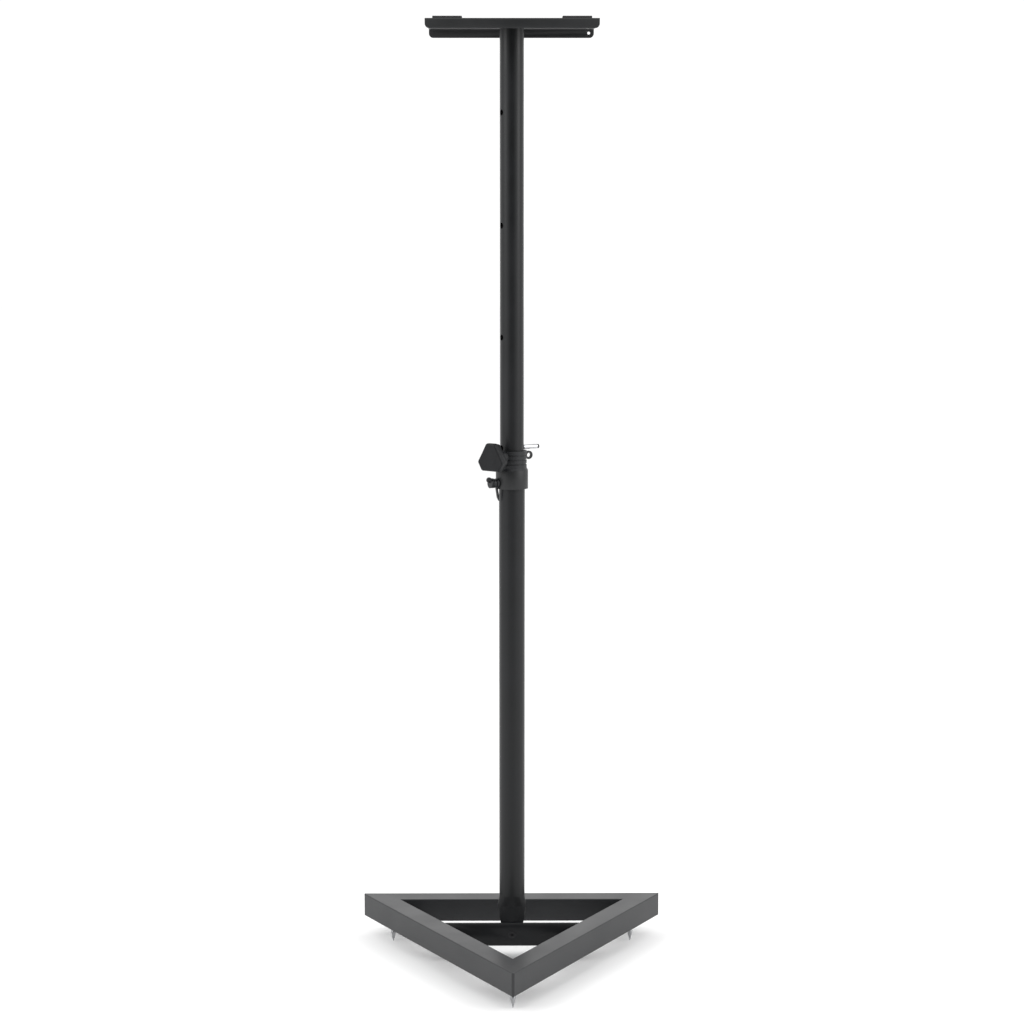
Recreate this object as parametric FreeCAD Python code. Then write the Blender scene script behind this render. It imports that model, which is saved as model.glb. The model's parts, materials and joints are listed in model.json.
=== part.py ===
import FreeCAD, Part
import math
import os

# Height-adjustable loudspeaker stand: a welded triangular base on three floor spikes, a bolted
# round pole, a sliding round mast in it with a clamp collar, and a folded top plate.
# Millimetres. Z is up, the open side of the clamp and the base's apex face -Y.
# The origin is on the floor, under the middle of the base's own box.

Vec = FreeCAD.Vector
UP = Vec(0, 0, 1)
ACROSS = Vec(1, 0, 0)
FRONT_TO_BACK = Vec(0, 1, 0)
ORIGIN = Vec(0, 0, 0)
os.makedirs("parts", exist_ok=True)

# ---------------------------------------------------------------- driving dimensions
# base frame, an equilateral triangle of square tube
base_side = 425.0          # outer side of the triangle, to its sharp corners
base_tube = 32.0           # outside of the square tube
base_wall = 1.5
base_corner_radius = 1.4   # rounding of the square tube's long edges
base_tip_radius = 2.5      # upright corners of the triangle, ground round
pole_to_apex = 239.0       # pole axis to the base's front apex
cross_bar_leg = 32.0       # equal-leg angle that carries the pole
cross_bar_wall = 3.0

# floor spikes
spike_reach = 24.0         # floor to the underside of the tubes
spike_stud = 6.0           # thread diameter
spike_stud_in = 14.0       # stud length above the underside of the tubes
spike_cone_diameter = 7.8
spike_cone_height = 14.0
spike_shoulder = 3.0       # short cone from the stud to the widest ring
spike_tip_diameter = 0.8
rear_spike_setback = 46.0  # rear outer face of the base to the rear spikes
insert_diameter = 11.0
insert_flange_diameter = 14.0
insert_flange = 1.0
insert_length = 12.0
locknut_flats = 10.0
locknut_height = 4.0

# pole
pole_wall = 1.2
pole_top = 706.0
foot_spread = 3.5          # the pressed end is this much wider than the pole
foot_squeeze = 4.0         # and this much less deep
oval_blend = 55.0          # direction, in degrees, where the oval's end arcs meet its flank arcs
foot_flare_top = 92.0
foot_flare_bottom = 78.0
foot_trim_top = 72.0       # the oval's sides are trimmed from here down to the toe
foot_trim_bottom = 52.0
foot_toe_trim = 4.25       # taken off each side of the oval
foot_bolt = 6.0            # countersunk socket screw, flush with the angle's front
foot_bolt_head = 12.0
foot_bolt_socket = 4.5
foot_bolt_socket_depth = 2.4
foot_washer = 13.0
foot_washer_height = 1.6
foot_nut_flats = 10.0
foot_nut_height = 5.0
foot_bolt_stick_out = 4.0

# mast
mast_diameter = 32.0
mast_wall = 1.2
mast_bottom = 634.0        # lower end of the steel tube, fully raised
hole_diameter = 8.0
hole_pitch = 148.5
hole_count = 4
glide_lip = 4.0            # nylon glide under the tube
glide_plug = 16.0
glide_bore = 20.0
top_plug_length = 22.0

# top plate
plate_top = 1273.0
plate_width = 224.0
plate_depth = 200.0
plate_sheet = 2.0
plate_lip = 13.0           # height of the folded edges, sheet included
plate_lip_corner = 6.0
plate_inner_bend = 0.5     # inside radius of the folds; the outside one is a sheet larger
plate_screw = 10.0
plate_screw_head = 19.0
plate_screw_head_height = 5.5
plate_screw_length = 24.0
plate_socket = 6.0         # hexagon socket across flats
plate_socket_depth = 3.5
hang_hole = 4.0            # coating hook hole in the rear lip
hang_hole_inset = 7.0
pad_width = 38.0
pad_length = 190.0
pad_thickness = 3.0
pad_inset = 9.5            # plate's side to the pad

# ring round the pole's top, and the clamp collar above it
sleeve_wall = 4.25
sleeve_bottom = 656.0
sleeve_top = 681.0
collar_wall = 2.5
collar_top = 707.2
collar_foot = 3.0          # flare that meets the sleeve
groove_depth = 1.0
groove_width = 2.0
groove_heights = (689.5, 695.5, 701.5)

# clamp knob on a screw with a swivel shoe
knob_bearing = -129.0      # direction from the pole axis, degrees from +X
knob_height = 699.0
knob_lobes = 3
knob_lobe_reach = 21.0     # knob axis to the blunt end of a lobe
knob_flank = 16.4          # knob axis to the middle of a flank
knob_lobe_corner = 3.5     # rounding of each lobe's two corners
knob_thickness = 15.0
knob_edge = 2.5            # rounding of the grip's outer edge
knob_stand_off = 12.5      # collar to the grip's inner face
knob_hub = 18.0
knob_hub_length = 2.5
knob_cap = 20.0
knob_cap_height = 1.2
knob_screw = 8.0
clamp_pitch = 1.25
boss_diameter = 18.0
boss_reach = 9.2           # collar to the boss's end face
clamp_insert_flats = 13.0
clamp_insert_height = 5.0
shoe_diameter = 12.0
shoe_thickness = 4.5
clamp_turns = 1.5

# spring plunger on the line of the mast's holes, low on the sleeve
hole_bearing = -151.0
plunger_height = 664.0
plunger_nose = 6.0
plunger_body = 10.0
plunger_body_reach = 5.25  # sleeve to the body's end face
plunger_bore = 7.6
plunger_stem = 4.0
plunger_end_wall = 2.0
plunger_nose_length = 2.0
plunger_shoulder_length = 1.5
plunger_head_face = 1.5    # closed end of the pull head over the stem
plunger_head = 12.5
plunger_head_length = 7.0
plunger_grooves = 2        # grooves round the pull head
plunger_groove_width = 1.0
plunger_groove_depth = 1.1
plunger_gap = 0.4          # head to body at rest
spring_wire = 0.5
spring_coils = 4
pull_eye_diameter = 7.4
pull_eye_hole = 3.0
pull_eye_width = 2.4
pull_eye_out = 8.2         # body's end face to the eye's middle
pull_eye_rise = 4.8        # plunger axis to the eye's middle
strap_width = 3.0
strap_thickness = 1.4
strap_drop = 18.3
strap_lean = 3.0           # the tail's tip leans this far in, under the sleeve

# safety pin just above the collar's top, on the far side of the hole line, drawn clear of the mast
pin_diameter = 6.4
pin_clear = 0.6            # mast to the pin's inner end, drawn out
pin_length = 24.4
pin_height = 711.0
pin_cap = 5.6
pin_cap_length = 2.6
pin_groove = 4.2
pin_bevel = 1.2
pin_cap_face = 1.0         # closed end of the cap over the pin

# tether eye moulded on the collar, under the pin
eyelet_diameter = 11.4
eyelet_hole = 6.0
eyelet_width = 3.0
eyelet_out = 5.7           # collar to the eye's middle
eyelet_height = 699.8

# shares of a moulded eye
eye_neck_share = 0.55      # neck height as a share of the eye's diameter
moulding_overlap = 1.5     # how far a moulded eye or boss runs into its own wall

# helpers for cutting and picking
overshoot = 1.0            # how far a cutting tool runs past the face it opens
near = 0.01                # distance within which two heights count as the same

# named clearances
slide_gap = 0.3            # mast in pole, radial
glide_gap = 0.10           # glide in pole, radial
lip_gap = 0.2              # collar lip round the mast, radial
screw_gap = 0.1            # a moving screw in its thread, radial
shoe_gap = 0.10            # shoe face to mast
free_gap = 0.3             # between other bodies

# ---------------------------------------------------------------- derived places
triangle_height = base_side * math.sqrt(3) / 2
rear_y = (triangle_height - base_tip_radius) / 2
apex_y = rear_y - triangle_height
pole_y = apex_y + pole_to_apex
base_bottom = spike_reach
base_top = base_bottom + base_tube
pole_axis = Vec(0, pole_y, 0)
pole_bore = mast_diameter + 2 * slide_gap
pole_diameter = pole_bore + 2 * pole_wall
foot_width = pole_diameter + foot_spread
foot_depth = pole_diameter - foot_squeeze
foot_toe_width = foot_width - 2 * foot_toe_trim
sleeve_diameter = pole_diameter + 2 * sleeve_wall
collar_diameter = pole_diameter + 2 * collar_wall
knob_face_radius = collar_diameter / 2 + knob_stand_off
boss_end = collar_diameter / 2 + boss_reach
eyelet_reach = collar_diameter / 2 + eyelet_out
plunger_body_end = sleeve_diameter / 2 + plunger_body_reach
pull_eye_reach = plunger_body_end + pull_eye_out
pin_rest_tip = mast_diameter / 2 + pin_clear
pin_outer = pin_rest_tip + pin_length
foot_bottom = base_bottom + cross_bar_wall
foot_bolt_height = base_bottom + cross_bar_leg / 2
plate_underside = plate_top - plate_sheet
plate_bend_radius = plate_inner_bend + plate_sheet


# ---------------------------------------------------------------- helpers
def save(shape, name):
    shape.exportStep("parts/" + name + ".step")


def rod(diameter, start, end, axis=UP, at=ORIGIN):
    """Round bar along axis, between two distances from a point."""
    return Part.makeCylinder(diameter / 2, end - start, at + axis * start, axis)


def tube(outer, inner, start, end, axis=UP, at=ORIGIN):
    return rod(outer, start, end, axis, at).cut(rod(inner, start - overshoot, end + overshoot, axis, at))


def cone(lower, upper, start, end, axis=UP, at=ORIGIN):
    return Part.makeCone(lower / 2, upper / 2, end - start, at + axis * start, axis)


def block(low, high):
    size = [high[i] - low[i] for i in range(3)]
    return Part.makeBox(size[0], size[1], size[2], Vec(*low))


def hexagon(flats, start, end, axis=UP, at=ORIGIN):
    """Hexagonal bar across flats, along axis."""
    radius = flats / math.sqrt(3)
    points = [Vec(radius * math.cos(math.radians(60 * i)), radius * math.sin(math.radians(60 * i)), 0)
              for i in range(7)]
    bar = Part.Face(Part.makePolygon(points)).extrude(UP * (end - start))
    bar.Placement = FreeCAD.Placement(at + axis * start, FreeCAD.Rotation(UP, axis))
    return bar


def bearing(degrees):
    """Unit vector from the pole axis, level, at an angle from +X."""
    return Vec(math.cos(math.radians(degrees)), math.sin(math.radians(degrees)), 0)


def on_pole(height):
    return Vec(0, pole_y, height)


knob_at = on_pole(knob_height)


def ring(diameter, wire, centre, normal):
    """Round-wire ring of a given outside diameter."""
    return Part.makeTorus((diameter - wire) / 2, wire / 2, centre, normal)


def moulded_eye(diameter, hole, width, root, centre, direction):
    """Flat upright eye in line with direction, with a neck of its own width back to a root distance."""
    side = direction.cross(UP)
    disc = rod(diameter, -width / 2, width / 2, side, centre)
    reach = (centre - on_pole(centre.z)).dot(direction)
    neck = Part.makeBox(reach - root, width, diameter * eye_neck_share,
                        Vec(root, -width / 2, -diameter * eye_neck_share / 2))
    neck.rotate(ORIGIN, UP, math.degrees(math.atan2(direction.y, direction.x)))
    neck.translate(on_pole(centre.z))
    return disc.fuse(neck), rod(hole, -width, width, side, centre)


def edges_along(shape, direction):
    """Straight edges parallel to a direction."""
    straight = [e for e in shape.Edges if e.Curve.TypeId == "Part::GeomLine"]
    return [e for e in straight if e.tangentAt(e.FirstParameter).cross(direction).Length < near]


def edges_at(shape, height, index=2):
    """Edges whose middle lies at a height along one axis."""
    return [e for e in shape.Edges if abs(e.CenterOfMass[index] - height) < near]


def oval(width, depth, height):
    """Closed wire of four tangent arcs round the pole axis; a circle where width equals depth."""
    blend = math.radians(oval_blend)
    offset = (width - depth) / 2 / (1 + math.tan(blend) - 1 / math.cos(blend))
    end_radius = width / 2 - offset
    x = offset + end_radius * math.cos(blend)
    y = end_radius * math.sin(blend)
    corners = [(x, -y), (x, y), (-x, y), (-x, -y), (x, -y)]
    crowns = [(width / 2, 0), (0, depth / 2), (-width / 2, 0), (0, -depth / 2)]
    arcs = []
    for i, crown in enumerate(crowns):
        ends = [on_pole(height) + Vec(*corners[j], 0) for j in (i, i + 1)]
        arcs.append(Part.Arc(ends[0], on_pole(height) + Vec(*crown, 0), ends[1]).toShape())
    return Part.Wire(arcs)


# ---------------------------------------------------------------- base frame
def triangle_prism(points, low, high):
    loop = [Vec(p.x, p.y, low) for p in points]
    return Part.Face(Part.makePolygon(loop + [loop[0]])).extrude(UP * (high - low))


apex = Vec(0, apex_y, 0)
rear_left = Vec(-base_side / 2, rear_y, 0)
rear_right = Vec(base_side / 2, rear_y, 0)
centroid = (apex + rear_left + rear_right) * (1 / 3)
outline = triangle_prism([apex, rear_left, rear_right], base_bottom, base_top)
outline = outline.makeFillet(base_tip_radius, edges_along(outline, UP))


def base_member(start, end):
    """Square tube along one side of the triangle, mitred where it meets the other two."""
    along = (end - start).normalize()
    inward = centroid - (start + end) * 0.5
    inward.normalize()
    box = Part.makeBox(base_side, base_tube, base_tube)
    hollow = Part.makeBox(base_side, base_tube - 2 * base_wall, base_tube - 2 * base_wall,
                          Vec(0, base_wall, base_wall))
    box = box.makeFillet(base_corner_radius, edges_along(box, ACROSS))
    inner_radius = max(base_corner_radius - base_wall, base_wall / 2)
    hollow = hollow.makeFillet(inner_radius, edges_along(hollow, ACROSS))
    square = box.cut(hollow)
    normal = along.cross(inward)
    matrix = FreeCAD.Matrix(along.x, inward.x, normal.x, start.x,
                            along.y, inward.y, normal.y, start.y,
                            along.z, inward.z, normal.z, base_bottom + (base_tube if normal.z < 0 else 0),
                            0, 0, 0, 1)
    square.Placement = FreeCAD.Placement(matrix)
    return square.common(triangle_prism([centroid, start, end], 0, base_top + base_tube)).common(outline)


# spike positions: the apex spike stands where the tube centrelines meet, the rear two on the
# centrelines of the side tubes
side_normal_x = math.cos(math.radians(30))
rear_spike_y = rear_y - rear_spike_setback
rear_spike_x = (rear_spike_y - apex_y) * math.tan(math.radians(30)) - base_tube / 2 / side_normal_x
spikes = {
    "front": Vec(0, apex_y + base_tube, 0),
    "left": Vec(-rear_spike_x, rear_spike_y, 0),
    "right": Vec(rear_spike_x, rear_spike_y, 0),
}


def at_each_spike(make):
    return Part.makeCompound([make(place) for place in spikes.values()])


def bored_for_spikes(shape):
    for place in spikes.values():
        drill = rod(insert_diameter, base_bottom - overshoot, base_bottom + base_tube / 2, at=place)
        shape = shape.cut(drill)
    return shape


save(bored_for_spikes(base_member(rear_right, rear_left)), "base_tube_rear")
save(bored_for_spikes(base_member(rear_left, apex)), "base_tube_left")
save(bored_for_spikes(base_member(apex, rear_right)), "base_tube_right")


def spike_insert(place):
    """Flanged threaded bush in the tube's lower wall."""
    bush = rod(insert_diameter, base_bottom, base_bottom + insert_length, at=place)
    flange = rod(insert_flange_diameter, base_bottom - insert_flange, base_bottom, at=place)
    return bush.fuse(flange).cut(rod(spike_stud + 2 * screw_gap, 0, base_top, at=place)).removeSplitter()


def spike_locknut(place):
    top = base_bottom - insert_flange
    nut = hexagon(locknut_flats, top - locknut_height, top, at=place)
    return nut.cut(rod(spike_stud + 2 * screw_gap, 0, base_top, at=place))


def spike(place):
    """Turned steel spike: threaded stud, a short shoulder cone and a long point."""
    widest = spike_cone_height
    point = cone(spike_tip_diameter, spike_cone_diameter, 0, widest, at=place)
    shoulder = cone(spike_cone_diameter, spike_stud, widest, widest + spike_shoulder, at=place)
    stud = rod(spike_stud, widest + spike_shoulder, base_bottom + spike_stud_in, at=place)
    return point.fuse([shoulder, stud]).removeSplitter()


save(at_each_spike(spike_insert), "spike_inserts")
save(at_each_spike(spike_locknut), "spike_locknuts")
for side, place in spikes.items():
    save(spike(place), "spike_" + side)


# ---------------------------------------------------------------- cross bar and pole
bar_front = pole_y - foot_depth / 2 - cross_bar_wall
bar_low = base_bottom


def cross_bar():
    """Equal-leg angle between the side tubes: the upright leg is in front of the pole's foot."""
    upright = block((-base_side, bar_front, bar_low),
                    (base_side, bar_front + cross_bar_wall, bar_low + cross_bar_leg))
    seat = block((-base_side, bar_front, bar_low),
                 (base_side, bar_front + cross_bar_leg, bar_low + cross_bar_wall))
    inner = [p + (centroid - p).normalize() * (2 * base_tube) for p in (apex, rear_left, rear_right)]
    angle = upright.fuse(seat).common(triangle_prism(inner, 0, base_top)).removeSplitter()
    angle = angle.cut(rod(foot_bolt, -base_side, base_side, FRONT_TO_BACK, bolt_at))
    return angle.cut(bolt_cone())


bolt_at = Vec(0, 0, foot_bolt_height)


def bolt_cone():
    """The countersunk head of the foot's screw, flush with the angle's front."""
    depth = (foot_bolt_head - foot_bolt) / 2
    return cone(foot_bolt_head, foot_bolt, bar_front, bar_front + depth, FRONT_TO_BACK, bolt_at)


save(cross_bar(), "cross_bar")


def oval_bar(width, depth, diameter):
    """Pole end: round above, flaring to an oval below, down to the seat."""
    flare = Part.makeLoft([oval(width, depth, foot_flare_bottom), oval(diameter, diameter, foot_flare_top)],
                          True, True)
    toe = Part.Face(oval(width, depth, foot_bottom)).extrude(UP * (foot_flare_bottom - foot_bottom))
    shaft = Part.Face(oval(diameter, diameter, foot_flare_top)).extrude(UP * (pole_top - foot_flare_top))
    return toe.fuse([flare, shaft])


def foot_trim(sign):
    """Wedge that takes one side of the oval off above the cross bar."""
    x_out = sign * foot_width
    x_toe = sign * foot_toe_width / 2
    x_full = sign * (foot_width / 2 + near)
    loop = [Vec(x_full, 0, foot_trim_top), Vec(x_toe, 0, foot_trim_bottom), Vec(x_toe, 0, 0),
            Vec(x_out, 0, 0), Vec(x_out, 0, foot_trim_top), Vec(x_full, 0, foot_trim_top)]
    wedge = Part.Face(Part.makePolygon(loop)).extrude(Vec(0, 2 * pole_diameter, 0))
    wedge.translate(Vec(0, pole_y - pole_diameter, 0))
    return wedge


def lower_pole():
    shell = oval_bar(foot_width, foot_depth, pole_diameter)
    shell = shell.cut(oval_bar(foot_width - 2 * pole_wall, foot_depth - 2 * pole_wall, pole_bore))
    for sign in (-1, 1):
        shell = shell.cut(foot_trim(sign))
    shell = shell.cut(rod(foot_bolt, -base_side, base_side, FRONT_TO_BACK, bolt_at))
    shell = shell.cut(rod(shoe_diameter + 2 * free_gap, 0, pole_diameter, bearing(knob_bearing),
                          knob_at))
    shell = shell.cut(rod(plunger_body, 0, pole_diameter, bearing(hole_bearing), on_pole(plunger_height)))
    return shell


save(lower_pole(), "lower_pole")

# screw from front to back through the angle and the pole's foot
foot_back = pole_y + foot_depth / 2


def foot_bolt_piece():
    """Countersunk screw with a hexagon socket."""
    end = foot_back + foot_washer_height + foot_nut_height + foot_bolt_stick_out
    screw = rod(foot_bolt, bar_front, end, FRONT_TO_BACK, bolt_at).fuse(bolt_cone()).removeSplitter()
    return screw.cut(hexagon(foot_bolt_socket, bar_front - overshoot, bar_front + foot_bolt_socket_depth,
                             FRONT_TO_BACK, bolt_at))


nut_start = foot_back + foot_washer_height
save(foot_bolt_piece(), "foot_bolt")
save(tube(foot_washer, foot_bolt, foot_back, nut_start, FRONT_TO_BACK, bolt_at), "foot_washer")
nut_end = nut_start + foot_nut_height
save(hexagon(foot_nut_flats, nut_start, nut_end, FRONT_TO_BACK, bolt_at)
     .cut(rod(foot_bolt, nut_start - overshoot, nut_end + overshoot, FRONT_TO_BACK, bolt_at)), "foot_nut")

# ---------------------------------------------------------------- sleeve and collar
knob_axis = bearing(knob_bearing)
hole_axis = bearing(hole_bearing)
pin_axis = bearing(hole_bearing + 180)

sleeve = tube(sleeve_diameter, pole_diameter, sleeve_bottom, sleeve_top, at=pole_axis)
sleeve_hole = rod(plunger_body, 0, sleeve_diameter, hole_axis, on_pole(plunger_height))
save(sleeve.cut(sleeve_hole), "sleeve")


def collar_section():
    """Half section of the barrel: flare, three grooves, lip over the pole's end, in the XZ plane."""
    outer = collar_diameter / 2
    groove = outer - groove_depth
    loop = [Vec(pole_diameter / 2, 0, sleeve_top), Vec(sleeve_diameter / 2, 0, sleeve_top),
            Vec(outer, 0, sleeve_top + collar_foot)]
    for height in groove_heights:
        low = height - groove_width / 2
        high = height + groove_width / 2
        loop += [Vec(outer, 0, low), Vec(groove, 0, low), Vec(groove, 0, high), Vec(outer, 0, high)]
    lip = mast_diameter / 2 + lip_gap
    loop += [Vec(outer, 0, collar_top), Vec(lip, 0, collar_top), Vec(lip, 0, pole_top),
             Vec(pole_diameter / 2, 0, pole_top), loop[0]]
    return Part.Face(Part.makePolygon(loop))


def collar():
    """Moulded clamp collar: grooved barrel, the screw's boss and a tether eye."""
    barrel = collar_section().revolve(ORIGIN, UP, 360)
    barrel.translate(pole_axis)
    root = collar_diameter / 2 - moulding_overlap
    boss = rod(boss_diameter, root, boss_end, knob_axis, knob_at)
    eye, eye_hole = moulded_eye(eyelet_diameter, eyelet_hole, eyelet_width, root,
                                on_pole(eyelet_height) + pin_axis * eyelet_reach, pin_axis)
    body = barrel.fuse([boss, eye])
    boss_open = boss_end + overshoot
    body = body.cut(rod(mast_diameter + 2 * lip_gap, sleeve_top, collar_top + boss_diameter, at=pole_axis))
    body = body.cut(rod(pole_diameter, sleeve_top - overshoot, pole_top, at=pole_axis))
    body = body.cut(rod(knob_screw + 2 * screw_gap, 0, boss_open, knob_axis, knob_at))
    body = body.cut(hexagon(clamp_insert_flats, boss_end - clamp_insert_height, boss_open, knob_axis,
                            knob_at))
    body = body.cut(rod(shoe_diameter + 2 * free_gap, 0, shoe_seat, knob_axis, knob_at))
    return body.cut(eye_hole).removeSplitter()


shoe_face = mast_diameter / 2 + shoe_gap
shoe_seat = shoe_face + shoe_thickness + clamp_turns * clamp_pitch + free_gap
save(collar(), "collar")
clamp_nut = hexagon(clamp_insert_flats, boss_end - clamp_insert_height, boss_end, knob_axis, knob_at)
clamp_nut = clamp_nut.cut(rod(knob_screw + 2 * screw_gap, 0, boss_end + overshoot, knob_axis, knob_at))
save(clamp_nut, "clamp_nut")


# ---------------------------------------------------------------- clamp knob, screw and shoe
def clamp_shoe():
    """Nylon pad hollowed to the mast, with a blind socket for the screw's end."""
    back = shoe_face + shoe_thickness
    pad = rod(shoe_diameter, mast_diameter / 4, back, knob_axis, knob_at)
    pad = pad.cut(rod(mast_diameter + 2 * shoe_gap, 0, plate_top, at=pole_axis))
    return pad.cut(rod(knob_screw + 2 * screw_gap, screw_seat, back + overshoot, knob_axis, knob_at))


screw_seat = shoe_face + shoe_thickness / 2
grip_front = knob_face_radius + knob_thickness
screw_outer = grip_front - knob_cap_height - 2 * knob_cap_height


def knob_block():
    """Triangle with blunted, rounded corners, drawn up to the grip's thickness with one lobe at the top."""
    step = 360 / knob_lobes
    slope = math.tan(math.radians(step / 4))
    half_end = (2 * knob_flank - knob_lobe_reach) * slope
    points = []
    for i in range(knob_lobes):
        lobe = bearing(step * i + step * 3 / 4)
        across = UP.cross(lobe)
        points += [lobe * knob_lobe_reach - across * half_end, lobe * knob_lobe_reach + across * half_end]
    grip = Part.Face(Part.makePolygon(points + [points[0]])).extrude(UP * knob_thickness)
    return grip.makeFillet(knob_lobe_corner, edges_along(grip, UP))


def knob_grip():
    """Solid three-lobe grip with rounded edges, a hub behind it and a seat for the cap in its face."""
    grip = knob_block()
    grip = grip.makeFillet(knob_edge, edges_at(grip, knob_thickness) + edges_at(grip, 0))
    grip = grip.fuse(rod(knob_hub, -knob_hub_length, knob_edge + overshoot))
    grip = grip.cut(rod(knob_screw, -knob_hub_length - overshoot, screw_outer - knob_face_radius))
    grip = grip.cut(rod(knob_cap, knob_thickness - knob_cap_height, knob_thickness + overshoot))
    grip.Placement = knob_placement(knob_face_radius)
    return grip


def knob_placement(distance):
    """Turns a shape drawn round +Z onto the knob's axis, with its +Y kept upright."""
    side = UP.cross(knob_axis)
    matrix = FreeCAD.Matrix(side.x, 0, knob_axis.x, 0,
                            side.y, 0, knob_axis.y, 0,
                            side.z, 1, knob_axis.z, 0,
                            0, 0, 0, 1)
    return FreeCAD.Placement(knob_at + knob_axis * distance, FreeCAD.Placement(matrix).Rotation)


save(clamp_shoe(), "clamp_shoe")
save(knob_grip(), "knob_grip")
save(rod(knob_screw, screw_seat + free_gap / 2, screw_outer, knob_axis, knob_at), "knob_screw")
save(rod(knob_cap, grip_front - knob_cap_height, grip_front, knob_axis, knob_at), "knob_cap")

# ---------------------------------------------------------------- spring plunger
plunger_at = on_pole(plunger_height)
nose_tip = mast_diameter / 2 + free_gap
body_start = pole_diameter / 2 - pole_wall / 2
shoulder_start = nose_tip + plunger_nose_length
shoulder_end = shoulder_start + plunger_shoulder_length
head_start = plunger_body_end + plunger_gap
head_end = head_start + plunger_head_length
stem_end = head_end - plunger_head_face


def plunger_barrel():
    barrel = rod(plunger_body, body_start, plunger_body_end, hole_axis, plunger_at)
    bore_end = plunger_body_end - plunger_end_wall
    barrel = barrel.cut(rod(plunger_bore, 0, bore_end, hole_axis, plunger_at))
    return barrel.cut(rod(plunger_stem + 2 * screw_gap, 0, head_start, hole_axis, plunger_at))


def plunger_pin():
    """Nose, spring shoulder and stem in one turned piece."""
    nose = rod(plunger_nose, nose_tip, shoulder_start, hole_axis, plunger_at)
    shoulder = rod(plunger_bore - 2 * screw_gap, shoulder_start, shoulder_end, hole_axis, plunger_at)
    stem = rod(plunger_stem, shoulder_end, stem_end, hole_axis, plunger_at)
    return nose.fuse([shoulder, stem]).removeSplitter()


def plunger_grip():
    """Grooved pull head with a flat eye on its end."""
    head = rod(plunger_head, head_start, head_end, hole_axis, plunger_at)
    pitch = plunger_head_length / (plunger_grooves + 1)
    for i in range(plunger_grooves):
        middle = head_start + pitch * (i + 1)
        head = head.cut(tube(2 * plunger_head, plunger_head - 2 * plunger_groove_depth,
                             middle - plunger_groove_width / 2, middle + plunger_groove_width / 2,
                             hole_axis, plunger_at))
    eye_centre = plunger_at + UP * pull_eye_rise + hole_axis * pull_eye_reach
    eye, eye_hole = moulded_eye(pull_eye_diameter, pull_eye_hole, pull_eye_width,
                                head_start + moulding_overlap, eye_centre, hole_axis)
    head = head.fuse(eye).cut(eye_hole)
    return head.cut(rod(plunger_stem, 0, stem_end, hole_axis, plunger_at)).removeSplitter()


def helix_spring():
    """Compression spring, as separate round coils between the shoulder and the barrel's end."""
    start = shoulder_end + spring_wire / 2
    end = plunger_body_end - plunger_end_wall - spring_wire / 2
    step = (end - start) / (spring_coils - 1)
    across = plunger_bore - 2 * screw_gap
    coils = [ring(across, spring_wire, plunger_at + hole_axis * (start + step * i), hole_axis)
             for i in range(spring_coils)]
    return Part.makeCompound(coils)


save(plunger_barrel(), "plunger_barrel")
save(plunger_pin(), "plunger_pin")
save(plunger_grip(), "plunger_grip")
save(helix_spring(), "plunger_spring")


def retaining_strap():
    """Moulded strap: a band round the plunger's barrel and a tail that hangs beside the pole."""
    band_start = sleeve_diameter / 2 + free_gap
    band_end = band_start + strap_width
    band = tube(plunger_body + 2 * strap_thickness, plunger_body, band_start, band_end, hole_axis, plunger_at)
    root = plunger_body / 2 + strap_thickness / 2
    shape = [(band_start, 0), (band_end, 0), (band_end - strap_lean * 3 / 4, strap_drop * 3 / 4),
             (band_end - strap_lean - strap_width / 2, strap_drop),
             (band_start - strap_lean / 2, strap_drop * 3 / 5), (band_start, strap_drop / 5), (band_start, 0)]
    outline = [Vec(reach, 0, -root - drop) for reach, drop in shape]
    tail = Part.Face(Part.makePolygon(outline)).extrude(Vec(0, strap_width, 0))
    tail.translate(Vec(0, -strap_width / 2, 0))
    tail.rotate(ORIGIN, UP, hole_bearing)
    tail.translate(plunger_at)
    return band.fuse(tail).removeSplitter()


save(retaining_strap(), "plunger_strap")

# ---------------------------------------------------------------- safety pin
pin_at = on_pole(pin_height)


def safety_pin():
    """Turned pin with a bevelled nose and a groove inside its cap."""
    bevel_end = pin_rest_tip + pin_bevel
    nose = cone(pin_diameter - 2 * pin_bevel, pin_diameter, pin_rest_tip, bevel_end, pin_axis, pin_at)
    shaft = rod(pin_diameter, bevel_end, pin_outer - pin_cap_length, pin_axis, pin_at)
    neck = rod(pin_groove, pin_outer - pin_cap_length, pin_outer - pin_cap_face, pin_axis, pin_at)
    return nose.fuse([shaft, neck]).removeSplitter()


def safety_pin_cap():
    cap = rod(pin_cap, pin_outer - pin_cap_length, pin_outer, pin_axis, pin_at)
    return cap.cut(rod(pin_groove, 0, pin_outer - pin_cap_face, pin_axis, pin_at))


save(safety_pin(), "safety_pin")
save(safety_pin_cap(), "safety_pin_cap")

# ---------------------------------------------------------------- mast
mast_bore = mast_diameter - 2 * mast_wall
mast_top = plate_underside


def mast_tube():
    body = tube(mast_diameter, mast_bore, mast_bottom, mast_top, at=pole_axis)
    for i in range(hole_count):
        hole_at = on_pole(pin_height + hole_pitch * i)
        drill = rod(hole_diameter, -mast_diameter, mast_diameter, hole_axis, hole_at)
        body = body.cut(drill)
    return body


def mast_glide():
    """Nylon collar under the mast's end, with a spigot that the tube turns on."""
    lip_top = mast_bottom - free_gap
    lip = rod(pole_bore - 2 * glide_gap, lip_top - glide_lip, lip_top, at=pole_axis)
    spigot = rod(mast_bore - 2 * glide_gap, mast_bottom - free_gap, mast_bottom + glide_plug, at=pole_axis)
    return lip.fuse(spigot).cut(rod(glide_bore, 0, plate_top, at=pole_axis)).removeSplitter()


def mast_plug():
    """Steel plug in the top of the mast, tapped for the plate's screw."""
    plug = rod(mast_bore, mast_top - top_plug_length, mast_top, at=pole_axis)
    return plug.cut(rod(plate_screw, 0, plate_top, at=pole_axis)).cut(countersink())


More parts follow.
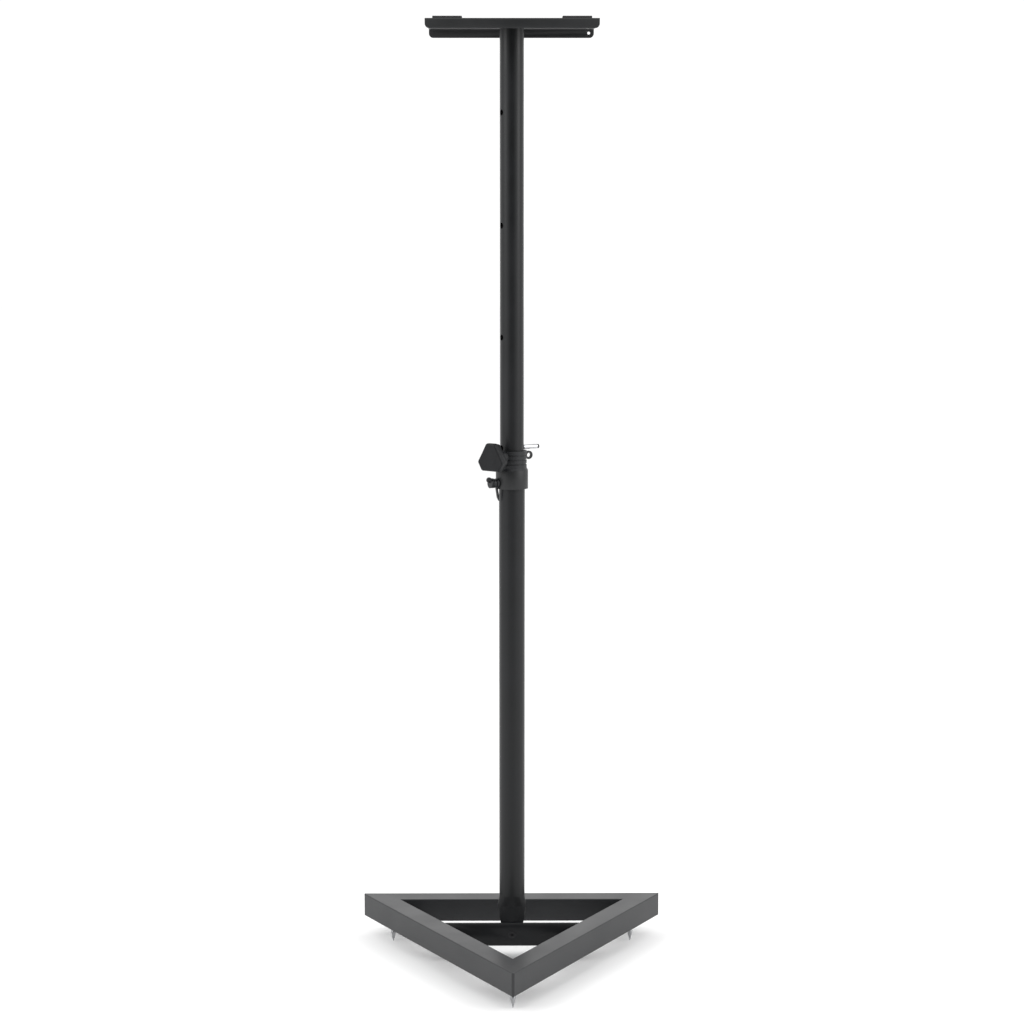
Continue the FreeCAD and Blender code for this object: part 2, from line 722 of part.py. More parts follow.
def countersink():
    """The plate screw head's cone, flush with the plate's top."""
    return cone(plate_screw, plate_screw_head, plate_top - plate_screw_head_height, plate_top, at=pole_axis)


save(mast_tube(), "mast_tube")
save(mast_glide(), "mast_glide")
save(mast_plug(), "mast_plug")


# ---------------------------------------------------------------- top plate
def top_plate():
    """Folded sheet: flat top with the front and rear edges turned down, corners of the lips rounded."""
    half_w = plate_width / 2
    half_d = plate_depth / 2
    outer = block((-half_w, pole_y - half_d, plate_top - plate_lip), (half_w, pole_y + half_d, plate_top))
    bends = [e for e in edges_along(outer, ACROSS) if abs(e.CenterOfMass.z - plate_top) < near]
    outer = outer.makeFillet(plate_bend_radius, bends)
    lip_edge = plate_top - plate_lip
    lip_corners = [e for e in edges_along(outer, FRONT_TO_BACK) if abs(e.CenterOfMass.z - lip_edge) < near]
    outer = outer.makeFillet(plate_lip_corner, lip_corners)
    inner = block((-plate_width, pole_y - half_d + plate_sheet, 0),
                  (plate_width, pole_y + half_d - plate_sheet, plate_underside))
    inner_bends = [e for e in edges_along(inner, ACROSS) if abs(e.CenterOfMass.z - plate_underside) < near]
    inner = inner.makeFillet(plate_inner_bend, inner_bends)
    plate = outer.cut(inner)
    hook = Vec(half_w - hang_hole_inset, pole_y + half_d, plate_top - plate_lip / 2)
    plate = plate.cut(rod(hang_hole, -2 * plate_sheet, 2 * plate_sheet, FRONT_TO_BACK, hook))
    return plate.cut(countersink()).cut(rod(plate_screw, 0, plate_top + overshoot, at=pole_axis))


def plate_screw_piece():
    head_base = plate_top - plate_screw_head_height
    shank = rod(plate_screw, plate_top - plate_screw_length, head_base, at=pole_axis)
    body = shank.fuse(countersink()).removeSplitter()
    socket_floor = plate_top - plate_socket_depth
    return body.cut(hexagon(plate_socket, socket_floor, plate_top + overshoot, at=pole_axis))


save(top_plate(), "top_plate")
save(plate_screw_piece(), "plate_screw")
for side, sign in (("left", -1), ("right", 1)):
    outer_x = sign * (plate_width / 2 - pad_inset)
    inner_x = outer_x - sign * pad_width
    pad = block((min(outer_x, inner_x), pole_y - pad_length / 2, plate_top),
                (max(outer_x, inner_x), pole_y + pad_length / 2, plate_top + pad_thickness))
    pad = pad.makeFillet(pad_thickness / 4, edges_at(pad, plate_top + pad_thickness))
    save(pad, "pad_" + side)
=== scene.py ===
import json
import math

import bmesh
import bpy
from mathutils import Matrix, Vector


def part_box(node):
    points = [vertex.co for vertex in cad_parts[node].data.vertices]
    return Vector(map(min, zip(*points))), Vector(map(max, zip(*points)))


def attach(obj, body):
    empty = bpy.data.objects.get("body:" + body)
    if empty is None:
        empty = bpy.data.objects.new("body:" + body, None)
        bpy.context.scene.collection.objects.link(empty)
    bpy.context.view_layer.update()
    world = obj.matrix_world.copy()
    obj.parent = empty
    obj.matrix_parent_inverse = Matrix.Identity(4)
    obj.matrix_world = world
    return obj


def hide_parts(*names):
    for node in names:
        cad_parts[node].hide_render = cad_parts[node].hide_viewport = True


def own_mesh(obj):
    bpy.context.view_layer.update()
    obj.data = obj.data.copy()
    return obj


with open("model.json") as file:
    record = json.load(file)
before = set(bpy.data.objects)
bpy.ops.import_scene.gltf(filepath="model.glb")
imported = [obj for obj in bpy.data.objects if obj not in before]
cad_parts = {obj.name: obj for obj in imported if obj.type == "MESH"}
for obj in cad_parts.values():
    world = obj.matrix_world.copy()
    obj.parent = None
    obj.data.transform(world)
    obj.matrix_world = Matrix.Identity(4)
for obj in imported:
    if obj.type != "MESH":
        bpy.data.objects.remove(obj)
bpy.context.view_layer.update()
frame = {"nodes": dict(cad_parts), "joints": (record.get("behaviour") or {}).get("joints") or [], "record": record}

# Loudspeaker stand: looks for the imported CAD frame. Metres, Z up, front of the stand towards -Y.
MM = 0.001
MERGE_WITHIN = 0.004 * MM
UP = Vector((0, 0, 1))
joints = {joint["name"]: joint for joint in frame["joints"]}
scene = bpy.context.scene


# ---------------------------------------------------------------- places taken from the frame
def low(node):
    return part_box(node)[0]


def high(node):
    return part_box(node)[1]


def middle(node):
    return (low(node) + high(node)) / 2


pole = middle("lower_pole")
pole.z = 0.0

# ---------------------------------------------------------------- camera
# a long lens a little over three metres in front of the stand, at the height of a person's chest
LENS_MM = 86.05
SENSOR_MM = 36.0
CAMERA_RIGHT = -0.0189
CAMERA_BACK = 3.2817
CAMERA_HEIGHT = 1.0487
PITCH_DOWN = math.radians(7.384)
YAW = math.radians(-0.332)
ROLL = math.radians(-0.013)

lens = bpy.data.cameras.new("studio_camera")
lens.lens = LENS_MM
lens.sensor_width = SENSOR_MM
lens.clip_end = 60.0
camera = bpy.data.objects.new("studio_camera", lens)
scene.collection.objects.link(camera)
turn = Matrix.Rotation(YAW, 4, "Z") @ Matrix.Rotation(math.pi / 2 - PITCH_DOWN, 4, "X")
turn = turn @ Matrix.Rotation(ROLL, 4, "Z")
camera.matrix_world = Matrix.Translation(
    (pole.x + CAMERA_RIGHT, pole.y - CAMERA_BACK, CAMERA_HEIGHT)) @ turn
scene.camera = camera


# ---------------------------------------------------------------- material helpers
def linear(hex_code):
    """sRGB hex to linear red, green, blue, alpha."""
    levels = [int(hex_code[i:i + 2], 16) / 255 for i in (1, 3, 5)]
    return [v / 12.92 if v <= 0.04045 else ((v + 0.055) / 1.055) ** 2.4 for v in levels] + [1.0]


def add(tree, kind, inputs=None, **settings):
    """Adds a node with its settings, and fills its inputs with values or other nodes' outputs."""
    made = tree.nodes.new(kind)
    for name, value in settings.items():
        setattr(made, name, value)
    for name, value in (inputs or {}).items():
        if isinstance(value, bpy.types.NodeSocket):
            tree.links.new(value, made.inputs[name])
        else:
            made.inputs[name].default_value = value
    return made


def material(name, **surface):
    """An empty material with one Principled shader, whose constant sockets are set directly."""
    made = bpy.data.materials.new(name)
    made.use_nodes = True
    tree = made.node_tree
    tree.nodes.clear()
    shader = add(tree, "ShaderNodeBsdfPrincipled", surface)
    out = add(tree, "ShaderNodeOutputMaterial")
    tree.links.new(shader.outputs["BSDF"], out.inputs["Surface"])
    return made, tree, shader


def ramp(tree, factor, stops):
    """Colour ramp from (position, linear colour) stops."""
    made = add(tree, "ShaderNodeValToRGB", {"Fac": factor})
    elements = made.color_ramp.elements
    while len(elements) < len(stops):
        elements.new(0.5)
    for element, (position, colour) in zip(elements, stops):
        element.position = position
        element.color = colour
    return made.outputs["Color"]


def per_metre(millimetres):
    """Noise scale that gives features of this size on metre-based coordinates."""
    return 1.0 / (millimetres * MM)


def coated_steel(name, dark, light, grain_mm, grain_depth_mm, rough, gloss):
    """Powder-coated steel: fine pebbled film that melts and levels, so lights spread into a soft sheen."""
    made, tree, shader = material(name, **{"IOR": 1.5, "Specular IOR Level": gloss})
    where = add(tree, "ShaderNodeTexCoord").outputs["Object"]
    pebble = add(tree, "ShaderNodeTexNoise", {"Vector": where, "Scale": per_metre(grain_mm),
                                              "Detail": 3.0, "Roughness": 0.6})
    cloud = add(tree, "ShaderNodeTexNoise", {"Vector": where, "Scale": per_metre(70.0),
                                             "Detail": 4.0, "Roughness": 0.55})
    colour = ramp(tree, cloud.outputs["Fac"], [(0.3, linear(dark)), (0.7, linear(light))])
    tree.links.new(colour, shader.inputs["Base Color"])
    spread = add(tree, "ShaderNodeMapRange", {"Value": cloud.outputs["Fac"], "From Min": 0.3,
                                              "From Max": 0.7, "To Min": rough - 0.04,
                                              "To Max": rough + 0.05})
    tree.links.new(spread.outputs["Result"], shader.inputs["Roughness"])
    bump = add(tree, "ShaderNodeBump", {"Height": pebble.outputs["Fac"], "Strength": 0.6,
                                        "Distance": grain_depth_mm * MM})
    tree.links.new(bump.outputs["Normal"], shader.inputs["Normal"])
    return made


def moulded(name, dark, light, grain_mm, rough, gloss, grain_depth_mm=0.03):
    """Injection-moulded polymer: an even spark-eroded grain and slightly uneven sheen."""
    made, tree, shader = material(name, **{"IOR": 1.49, "Specular IOR Level": gloss})
    where = add(tree, "ShaderNodeTexCoord").outputs["Object"]
    grain = add(tree, "ShaderNodeTexVoronoi", {"Vector": where, "Scale": per_metre(grain_mm)})
    cloud = add(tree, "ShaderNodeTexNoise", {"Vector": where, "Scale": per_metre(12.0), "Detail": 3.0})
    colour = ramp(tree, cloud.outputs["Fac"], [(0.3, linear(dark)), (0.75, linear(light))])
    tree.links.new(colour, shader.inputs["Base Color"])
    spread = add(tree, "ShaderNodeMapRange", {"Value": cloud.outputs["Fac"], "To Min": rough - 0.06,
                                              "To Max": rough + 0.06})
    tree.links.new(spread.outputs["Result"], shader.inputs["Roughness"])
    bump = add(tree, "ShaderNodeBump", {"Height": grain.outputs["Distance"], "Strength": 0.5,
                                        "Distance": grain_depth_mm * MM})
    tree.links.new(bump.outputs["Normal"], shader.inputs["Normal"])
    return made


def turned_steel(name, dark, light, rough, direction, pitch_mm, groove_mm=0.02):
    """Lathe-turned metal: fine tool rings across the axis, which draw the light into narrow bands."""
    made, tree, shader = material(name, **{"Metallic": 1.0})
    where = add(tree, "ShaderNodeTexCoord").outputs["Object"]
    # the mapping turns the piece's own axis onto Z
    spin = Vector(direction).rotation_difference(UP).to_euler()
    place = add(tree, "ShaderNodeMapping", {"Vector": where, "Rotation": spin})
    rings = add(tree, "ShaderNodeTexWave", {"Vector": place.outputs["Vector"],
                                            "Scale": per_metre(pitch_mm) / 20 * math.pi / 1.5,
                                            "Distortion": 0.6, "Detail": 2.0, "Detail Scale": 3.0},
                wave_type="BANDS", bands_direction="Z")
    cloud = add(tree, "ShaderNodeTexNoise", {"Vector": where, "Scale": per_metre(5.0), "Detail": 4.0})
    colour = ramp(tree, cloud.outputs["Fac"], [(0.3, linear(dark)), (0.7, linear(light))])
    tree.links.new(colour, shader.inputs["Base Color"])
    spread = add(tree, "ShaderNodeMapRange", {"Value": cloud.outputs["Fac"], "To Min": rough - 0.06,
                                              "To Max": rough + 0.08})
    tree.links.new(spread.outputs["Result"], shader.inputs["Roughness"])
    bump = add(tree, "ShaderNodeBump", {"Height": rings.outputs["Fac"], "Strength": 0.6,
                                        "Distance": groove_mm * MM})
    tree.links.new(bump.outputs["Normal"], shader.inputs["Normal"])
    return made


def cellular_rubber(name, dark, light, cell_mm):
    """Closed-cell rubber sheet: matt, with a skin of tiny open cells that scatter the light."""
    made, tree, shader = material(name, **{"IOR": 1.52, "Specular IOR Level": 0.3,
                                           "Sheen Weight": 0.15, "Sheen Roughness": 0.5})
    where = add(tree, "ShaderNodeTexCoord").outputs["Object"]
    cells = add(tree, "ShaderNodeTexVoronoi", {"Vector": where, "Scale": per_metre(cell_mm)})
    colour = ramp(tree, cells.outputs["Distance"], [(0.15, linear(dark)), (0.6, linear(light))])
    tree.links.new(colour, shader.inputs["Base Color"])
    scuff = add(tree, "ShaderNodeTexNoise", {"Vector": where, "Scale": per_metre(25.0), "Detail": 5.0})
    spread = add(tree, "ShaderNodeMapRange", {"Value": scuff.outputs["Fac"], "To Min": 0.78,
                                              "To Max": 0.95})
    tree.links.new(spread.outputs["Result"], shader.inputs["Roughness"])
    bump = add(tree, "ShaderNodeBump", {"Height": cells.outputs["Distance"], "Strength": 0.7,
                                        "Distance": 0.12 * MM})
    tree.links.new(bump.outputs["Normal"], shader.inputs["Normal"])
    return made


knob_out = Vector(joints["knob_turn"]["axis"])
pin_out = -Vector(joints["pin_push"]["axis"])

# the coating's real pebbles are about half this size; they are drawn coarser so that they show
base_coat = coated_steel("matt_powder_coated_steel", "#1d1e20", "#242527", 1.6, 0.05, 0.44, 0.45)
plate_coat = coated_steel("dark_powder_coated_sheet", "#1a1b1c", "#202122", 1.4, 0.04, 0.44, 0.35)
pole_coat = coated_steel("satin_powder_coated_tube", "#141516", "#18191b", 1.2, 0.03, 0.36, 0.28)
black_zinc = coated_steel("black_zinc_plated_steel", "#121214", "#19191c", 0.8, 0.02, 0.36, 0.35)
nylon = moulded("moulded_black_nylon", "#18191b", "#1f2023", 0.9, 0.46, 0.35)
knob_plastic = moulded("smooth_moulded_nylon_knob", "#121315", "#17181a", 0.7, 0.42, 0.2, 0.015)
glide_nylon = moulded("plain_glide_nylon", "#151618", "#1c1d1f", 1.0, 0.5, 0.4)
rubber = cellular_rubber("closed_cell_rubber", "#1c1c1d", "#333334", 0.9)
spike_steel = turned_steel("turned_bare_steel", "#8f9092", "#b4b5b7", 0.32, UP, 0.6)
clamp_steel = turned_steel("zinc_plated_screw_steel", "#9a9a98", "#b9b9b6", 0.28, knob_out, 1.25, 0.08)
pin_chrome = turned_steel("polished_chromed_pin", "#a6a7a9", "#bcbdbf", 0.16, pin_out, 0.8, 0.004)

by_slot = {
    "base_steel": base_coat,
    "pole_steel": pole_coat,
    "bright_steel": spike_steel,
    "black_fastener": black_zinc,
    "moulded_black": nylon,
    "knob_black": knob_plastic,
    "nylon_black": glide_nylon,
    "chrome_pin": pin_chrome,
    "pad_rubber": rubber,
}
own_material = {"knob_screw": clamp_steel, "clamp_nut": clamp_steel, "top_plate": plate_coat,
                "cross_bar": pole_coat, "sleeve": plate_coat}
slot_of = {part["node"]: part["material_slot"] for part in frame["record"]["subparts"]}
body_of = {node: body for body, nodes in frame["record"]["behaviour"]["bodies"].items() for node in nodes}


def finish_with(piece, surface):
    piece.data.materials.clear()
    piece.data.materials.append(surface)


for node_name, node_object in frame["nodes"].items():
    finish_with(node_object, own_material.get(node_name, by_slot[slot_of[node_name]]))


# ---------------------------------------------------------------- modelling helpers
def deselect():
    bpy.ops.object.select_all(action="DESELECT")
    bpy.context.view_layer.objects.active = None


def only(piece):
    deselect()
    piece.select_set(True)
    bpy.context.view_layer.objects.active = piece


def primitive(operator, name, **size):
    """Adds a primitive at the world's middle and names it."""
    deselect()
    operator(**size)
    piece = bpy.context.object
    piece.name = name
    piece.data.name = name
    return piece


def pick(piece, kind, wanted):
    """In edit mode, selects only the faces, edges or vertices that pass a test."""
    modes = {"verts": (True, False, False), "edges": (False, True, False), "faces": (False, False, True)}
    bpy.context.tool_settings.mesh_select_mode = modes[kind]
    bpy.ops.mesh.select_all(action="DESELECT")
    mesh = bmesh.from_edit_mesh(piece.data)
    mesh.normal_update()
    for element in getattr(mesh, kind):
        if wanted(element):
            element.select_set(True)
    mesh.select_flush_mode()
    bmesh.update_edit_mesh(piece.data)


def edit():
    bpy.ops.object.mode_set(mode="EDIT")


def leave():
    bpy.ops.object.mode_set(mode="OBJECT")


def apply_modifier(piece, kind, **settings):
    only(piece)
    made = piece.modifiers.new(kind.lower(), kind)
    for name, value in settings.items():
        setattr(made, name, value)
    bpy.ops.object.modifier_apply(modifier=made.name)


def smooth(piece, degrees=35.0):
    only(piece)
    bpy.ops.object.shade_smooth_by_angle(angle=math.radians(degrees))


def put(piece, matrix):
    """Moves a finished mesh to its place and leaves its object at the world's middle."""
    piece.matrix_world = matrix
    only(piece)
    bpy.ops.object.transform_apply(location=True, rotation=True, scale=True)


def axes_frame(origin, out, upward=UP):
    """Matrix with local Z along out and local Y as near to upward as it can be."""
    side = upward.cross(out).normalized()
    top = out.cross(side).normalized()
    turned = Matrix((side, top, out)).transposed().to_4x4()
    return Matrix.Translation(origin) @ turned


def join(pieces, name):
    deselect()
    for piece in pieces:
        piece.select_set(True)
    bpy.context.view_layer.objects.active = pieces[0]
    if len(pieces) > 1:
        bpy.ops.object.join()
    made = bpy.context.object
    made.name = name
    made.data.name = name
    return made


def copy_of(piece):
    made = piece.copy()
    made.data = piece.data.copy()
    scene.collection.objects.link(made)
    return made


def fit(piece, body, surface, replaces=()):
    """Gives a finished piece its material and body, and hides the nodes it stands for."""
    finish_with(piece, surface)
    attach(piece, body)
    if replaces:
        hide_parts(*replaces)
    return piece


def softened(node, edge_mm, segments=2, angle=38.0):
    """A merged copy of a CAD node whose sharp edges get a small rounding that catches the light."""
    piece = bpy.data.objects.new(node + "_softened", frame["nodes"][node].data.copy())
    scene.collection.objects.link(piece)
    only(piece)
    bpy.ops.mesh.customdata_custom_splitnormals_clear()
    edit()
    bpy.ops.mesh.select_all(action="SELECT")
    bpy.ops.mesh.remove_doubles(threshold=MERGE_WITHIN)
    bpy.ops.mesh.dissolve_limited(angle_limit=math.radians(0.8))
    leave()
    apply_modifier(piece, "BEVEL", width=edge_mm * MM, segments=segments, limit_method="ANGLE",
                   angle_limit=math.radians(angle), use_clamp_overlap=True, harden_normals=False)
    smooth(piece, 40.0)
    surface = own_material.get(node, by_slot[slot_of[node]])
    return fit(piece, body_of[node], surface, (node,))


# ---------------------------------------------------------------- small roundings on the metalwork
# node, and the size of its rounding in millimetres
ROUNDED_EDGES = (("top_plate", 0.35), ("cross_bar", 0.4), ("sleeve", 0.5), ("foot_washer", 0.2),
                 ("foot_nut", 0.4), ("foot_bolt", 0.2), ("spike_locknuts", 0.3),
                 ("spike_inserts", 0.2), ("plunger_barrel", 0.3), ("plunger_strap", 0.4))
for node_name, edge in ROUNDED_EDGES:
    softened(node_name, edge)


# ---------------------------------------------------------------- plunger spring
def squeezed_spring():
    """A merged copy of the spring, smooth shaded, with its own mesh."""
    piece = bpy.data.objects.new("plunger_spring_coils", frame["nodes"]["plunger_spring"].data.copy())
    scene.collection.objects.link(piece)
    only(piece)
    bpy.ops.mesh.customdata_custom_splitnormals_clear()
    edit()
    bpy.ops.mesh.select_all(action="SELECT")
    bpy.ops.mesh.remove_doubles(threshold=MERGE_WITHIN)
    leave()
    smooth(piece, 40.0)
    fit(piece, "base", spike_steel, ("plunger_spring",))
    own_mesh(piece)


squeezed_spring()


# ---------------------------------------------------------------- clamp knob
LOBES = 3
LOBE_REACH = 21.0 * MM
FLANK = 16.4 * MM
CORNER = 3.5 * MM
RIM_POINTS = 360
GRIP_RIBS = 60
RIB_DEPTH = 0.2 * MM
HUB_RADIUS = 9.0 * MM
HUB_DEPTH = 2.6 * MM
HUB_MIDDLE = -1.2 * MM
CAP_RADIUS = 9.6 * MM
CAP_DEPTH = 1.2 * MM
CAP_MIDDLE = 14.35 * MM
BACK_INSET = 3.0 * MM
# height above the grip's back and inset from its outline, in millimetres, then whether it has ribs
KNOB_RINGS = [(0.4, 2.4, 0), (2.5, 1.5, 0), (6.5, 0.6, 0), (8.0, 0.15, 0), (8.6, 0.0, 1), (11.9, 0.0, 1),
              (12.4, 0.0, 0), (13.7, 0.3, 0), (14.6, 1.0, 0), (14.95, 1.8, 0), (15.0, 2.6, 0),
              (14.9, 4.0, 0)]

# one of the six rounded corners: its arc's middle, and the directions where the arc starts and ends
half_step = math.pi / LOBES
corner_x = LOBE_REACH - CORNER
corner_y = (FLANK - CORNER - corner_x * math.cos(half_step)) / math.sin(half_step)
arc_start = math.atan2(corner_y, LOBE_REACH)
arc_end = math.atan2(corner_y + CORNER * math.sin(half_step), corner_x + CORNER * math.cos(half_step))


def knob_rim(angle):
    """Distance from the knob's axis to its rim: blunt lobes, flat flanks, rounded corners."""
    step = 2 * half_step
    from_lobe = abs((angle - math.pi / 2 + half_step) % step - half_step)
    if from_lobe < arc_start:
        return LOBE_REACH / math.cos(from_lobe)
    if from_lobe > arc_end:
        return FLANK / math.cos(half_step - from_lobe)
    along = corner_x * math.cos(from_lobe) + corner_y * math.sin(from_lobe)
    across = corner_x * math.sin(from_lobe) - corner_y * math.cos(from_lobe)
    return along + math.sqrt(CORNER ** 2 - across ** 2)


def set_rim(piece, height, inset, ribs):
    """Moves the selected ring of vertices to the knob's outline at a height, less an inset."""
    mesh = bmesh.from_edit_mesh(piece.data)
    for vertex in mesh.verts:
        if vertex.select:
            angle = math.atan2(vertex.co.y, vertex.co.x)
            reach = knob_rim(angle) - inset - ribs * RIB_DEPTH * (0.5 + 0.5 * math.cos(GRIP_RIBS * angle))
            vertex.co = Vector((math.cos(angle) * reach, math.sin(angle) * reach, height))
    bmesh.update_edit_mesh(piece.data)


def knob():
    """Three-lobe grip drawn up ring by ring: tapered back, fine ribs round the rim, rounded front edge."""
    piece = primitive(bpy.ops.mesh.primitive_circle_add, "knob_three_lobe_grip", vertices=RIM_POINTS,
                      radius=0.02, fill_type="NGON")
    edit()
    bpy.ops.mesh.select_all(action="SELECT")
    set_rim(piece, 0.0, BACK_INSET, 0)
    for height, inset, ribs in KNOB_RINGS:
        bpy.ops.mesh.extrude_region_move(TRANSFORM_OT_translate={"value": (0, 0, 0.1 * MM)})
        set_rim(piece, height * MM, inset * MM, ribs)
    bpy.ops.mesh.select_all(action="SELECT")
    bpy.ops.mesh.normals_make_consistent(inside=False)
    leave()
    hub = primitive(bpy.ops.mesh.primitive_cylinder_add, "knob_hub", vertices=96, radius=HUB_RADIUS,
                    depth=HUB_DEPTH, location=(0, 0, HUB_MIDDLE))
    apply_modifier(hub, "BEVEL", width=0.4 * MM, segments=2, limit_method="ANGLE")
    piece = join([piece, hub], "knob_three_lobe_grip")
    smooth(piece, 30.0)
    return piece


def knob_face_cap():
    """Round cap pressed into the knob's face, its middle raised by a hair."""
    piece = primitive(bpy.ops.mesh.primitive_cylinder_add, "knob_face_cap", vertices=128,
                      radius=CAP_RADIUS, depth=CAP_DEPTH, location=(0, 0, CAP_MIDDLE))
    only(piece)
    bpy.ops.object.transform_apply(location=True, rotation=False, scale=False)
    edit()
    pick(piece, "faces", lambda f: f.normal.z > 0.9)
    bpy.ops.mesh.inset(thickness=0.5 * MM, depth=0.04 * MM)
    leave()
    smooth(piece, 25.0)
    return piece


knob_at = Vector(joints["knob_turn"]["pos_m"])
knob_frame = axes_frame(knob_at, knob_out)
grip = knob()
cap = knob_face_cap()
for piece in (grip, cap):
    put(piece, knob_frame)
fit(grip, "knob", knob_plastic, ("knob_grip",))
fit(cap, "knob", knob_plastic, ("knob_cap",))


# ---------------------------------------------------------------- rubber pads
PAD_CORNER = 3.0 * MM
PAD_EDGE_DROP = 0.5 * MM


def pad(node):
    """Die-cut rubber strip: rounded corners and a softened upper edge."""
    size = high(node) - low(node)
    piece = primitive(bpy.ops.mesh.primitive_cube_add, node + "_rubber_strip", size=1.0)
    piece.scale = size
    only(piece)
    bpy.ops.object.transform_apply(location=False, rotation=False, scale=True)
    edit()
    pick(piece, "edges", lambda e: abs((e.verts[0].co - e.verts[1].co).normalized().z) > 0.9)
    bpy.ops.mesh.bevel(offset=PAD_CORNER, segments=6, affect="EDGES")
    pick(piece, "faces", lambda f: f.normal.z > 0.9)
    bpy.ops.mesh.inset(thickness=0.25 * MM, depth=0)
    bpy.ops.mesh.inset(thickness=0.35 * MM, depth=0)
    mesh = bmesh.from_edit_mesh(piece.data)
    top = max(v.co.z for v in mesh.verts)
    for vertex in mesh.verts:
        if vertex.co.z > top - 0.01 * MM and (abs(vertex.co.x) > size.x / 2 - 0.1 * MM
                                              or abs(vertex.co.y) > size.y / 2 - 0.1 * MM):
            vertex.co.z -= PAD_EDGE_DROP
    bmesh.update_edit_mesh(piece.data)
    leave()
    put(piece, Matrix.Translation(middle(node)))
    smooth(piece, 30.0)
    return fit(piece, "mast", rubber, (node,))


for node_name in ("pad_left", "pad_right"):
    pad(node_name)


# ---------------------------------------------------------------- weld beads
BEAD_STEP = 1.7 * MM
# radius in millimetres, then the ripple's share of it along, across and up the seam
TOP_BEAD = (1.0, (0.8, 0.55, 0.62))
EDGE_BEAD = (0.7, (0.6, 1.0, 0.9))
INSIDE_BEAD = (1.6, (1.0, 1.0, 0.8))
BAR_BEAD = (1.7, (1.0, 1.0, 0.8))
TOP_BEAD_START = 7.0 * MM
TOP_BEAD_STOP = 3.5 * MM
TOP_BEAD_SINK = 0.55 * MM
EDGE_BEAD_INSET = 2.75 * MM
EDGE_BEAD_STOP = 4.0 * MM
INSIDE_BEAD_STOP = 3.0 * MM
INSIDE_BEAD_INSET = 0.2 * MM
BAR_BEAD_START = 2.0 * MM
BAR_BEAD_STOP = 0.5 * MM


def weld(name, start, end, bead_shape, turn_z=0.0, surface=base_coat):
    """A stack of small overlapping ripples along a seam, merged into one coated bead."""
    radius_mm, flat = bead_shape
    along = end - start
    count = max(2, int(along.length / BEAD_STEP))
    ripple = primitive(bpy.ops.mesh.primitive_uv_sphere_add, "ripple", segments=12, ring_count=8,
                       radius=radius_mm * MM)
    ripple.scale = flat
    ripple.rotation_euler = (0, 0, turn_z)
    only(ripple)
    bpy.ops.object.transform_apply(location=False, rotation=True, scale=True)
    ripples = []
    for i in range(count + 1):
        made = copy_of(ripple)
        made.matrix_world = Matrix.Translation(start + along * (i / count))
        ripples.append(made)
    bpy.data.objects.remove(ripple)
    deselect()
    for made in ripples:
        made.select_set(True)
    bpy.context.view_layer.objects.active = ripples[0]
    bpy.ops.object.transform_apply(location=True, rotation=False, scale=False)
    bead = join(ripples, name)
    smooth(bead, 60.0)
    return fit(bead, "base", surface)


base_low, base_high = low("base_tube_rear"), high("base_tube_rear")
front_low = low("base_tube_left")
tube = base_high.z - base_low.z
half_side = (base_high.x - base_low.x) / 2
rear_y, apex_y = base_high.y, front_low.y
mitre = tube / math.sin(math.radians(30))
top_z = base_high.z
corners = {"apex": (Vector((0, apex_y, 0)), Vector((0, 1, 0))),
           "left": (Vector((-half_side, rear_y, 0)), Vector((math.cos(math.radians(30)), -0.5, 0))),
           "right": (Vector((half_side, rear_y, 0)), Vector((-math.cos(math.radians(30)), -0.5, 0)))}
for corner_name, (corner, inward) in corners.items():
    heading = math.atan2(inward.y, inward.x)
    seam_start = corner + inward * TOP_BEAD_START
    seam_end = corner + inward * (mitre - TOP_BEAD_STOP)
    level = Vector((0, 0, top_z - TOP_BEAD_SINK))
    weld("weld_top_" + corner_name, seam_start + level, seam_end + level, TOP_BEAD, heading)
    # the upright bead at each outer corner gets the darker black zinc finish: painted shade for the dark gap line
    # of the mitre
    upright = corner + inward * EDGE_BEAD_INSET
    weld("weld_edge_" + corner_name, upright + Vector((0, 0, base_low.z + EDGE_BEAD_STOP)),
         upright + Vector((0, 0, top_z - EDGE_BEAD_STOP)), EDGE_BEAD, heading, black_zinc)
    inner = corner + inward * (mitre + INSIDE_BEAD_INSET)
    weld("weld_inside_" + corner_name, inner + Vector((0, 0, base_low.z + INSIDE_BEAD_STOP)),
         inner + Vector((0, 0, top_z - INSIDE_BEAD_STOP)), INSIDE_BEAD, heading)

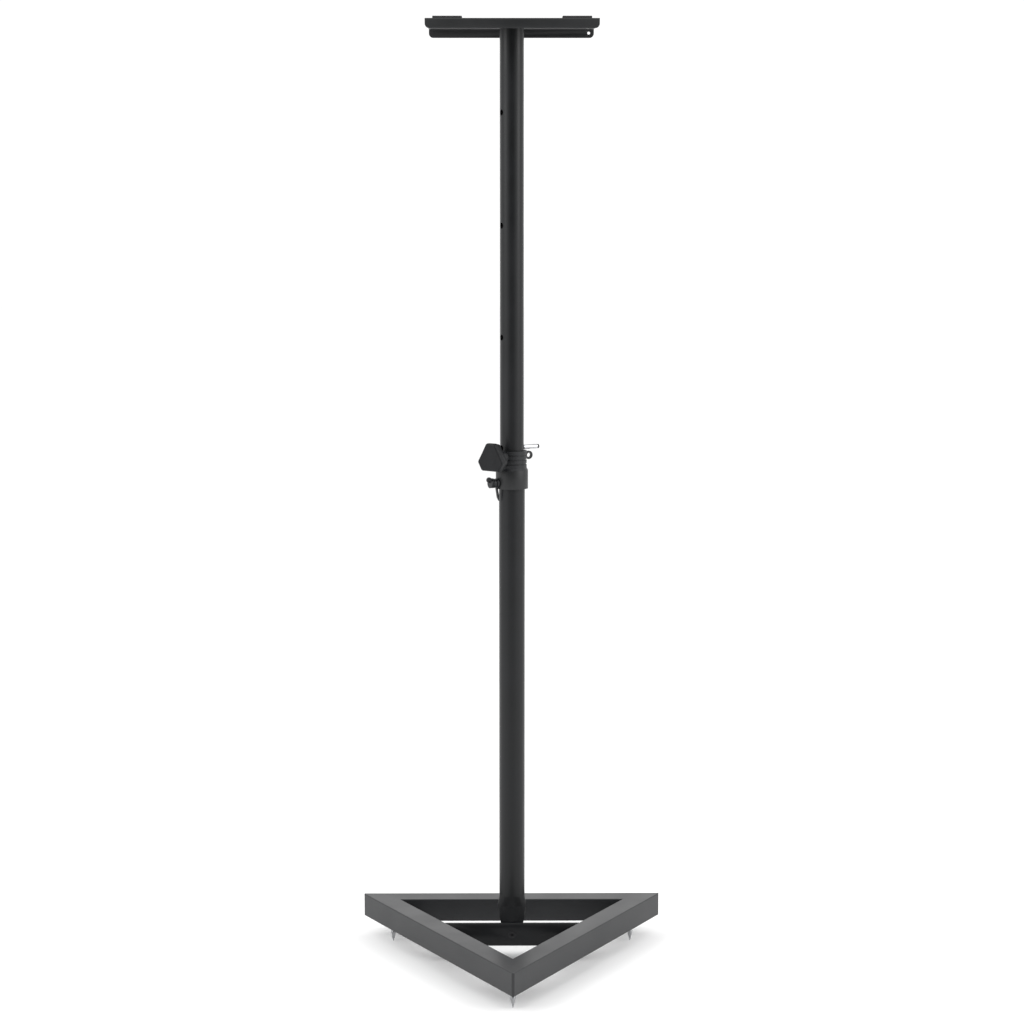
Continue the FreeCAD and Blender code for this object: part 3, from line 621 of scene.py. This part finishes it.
# fillet welds where the cross bar's upright leg meets the side tubes
bar_low, bar_high = low("cross_bar"), high("cross_bar")
for sign, side in ((-1, "left"), (1, "right")):
    reach = (bar_low.y - apex_y) * math.tan(math.radians(30)) - tube / math.cos(math.radians(30))
    foot = Vector((sign * reach, bar_low.y, 0))
    weld("weld_bar_" + side, foot + Vector((0, 0, bar_low.z + BAR_BEAD_START)),
         foot + Vector((0, 0, bar_high.z - BAR_BEAD_STOP)), BAR_BEAD)


# ---------------------------------------------------------------- studio
def matt_sheet(name, colour, rough, gloss):
    """Plain matt surface for the studio's own paper and cloth."""
    made, _, shader = material(name, **{"Roughness": rough, "IOR": 1.45, "Specular IOR Level": gloss})
    shader.inputs["Base Color"].default_value = linear(colour)
    return made


floor = primitive(bpy.ops.mesh.primitive_plane_add, "studio_floor", size=40.0)
finish_with(floor, matt_sheet("matt_studio_paper", "#fafafa", 0.9, 0.1))

world = bpy.data.worlds.new("soft_white_studio")
scene.world = world
world.use_nodes = True
world.node_tree.nodes["Background"].inputs["Color"].default_value = linear("#ffffff")
world.node_tree.nodes["Background"].inputs["Strength"].default_value = 1.06


def softbox(name, place, aim, width, height, watts):
    """Large rectangular light that faces a point."""
    light = bpy.data.lights.new(name, "AREA")
    light.shape = "RECTANGLE"
    light.size = width
    light.size_y = height
    light.energy = watts
    made = bpy.data.objects.new(name, light)
    scene.collection.objects.link(made)
    facing = (Vector(place) - Vector(aim)).to_track_quat("Z", "Y").to_matrix().to_4x4()
    made.matrix_world = Matrix.Translation(place) @ facing
    return made


softbox("softbox_left", (-2.6, -1.2, 2.2), (0, 0, 0.7), 1.6, 2.4, 42.0)
softbox("softbox_right", (2.6, -1.0, 1.9), (0, 0, 0.7), 1.4, 2.2, 36.0)
softbox("softbox_rear", (0, 3.2, 1.25), (0, 0, 0.05), 4.0, 1.2, 9.0).visible_camera = False

# black cloth behind the camera, seen only in reflections, so that glossy faces turned to the front stay dark
cloth = primitive(bpy.ops.mesh.primitive_plane_add, "black_cloth", size=1.0)
cloth.scale = (5.0, 4.0, 1.0)
cloth.rotation_euler = (math.pi / 2, 0, 0)
cloth.location = (0, -4.6, 1.6)
only(cloth)
bpy.ops.object.transform_apply(location=True, rotation=True, scale=True)
finish_with(cloth, matt_sheet("black_cotton_cloth", "#101010", 1.0, 0.05))
cloth.visible_camera = False
cloth.visible_diffuse = False
cloth.visible_shadow = False
scene.view_settings.view_transform = "Standard"
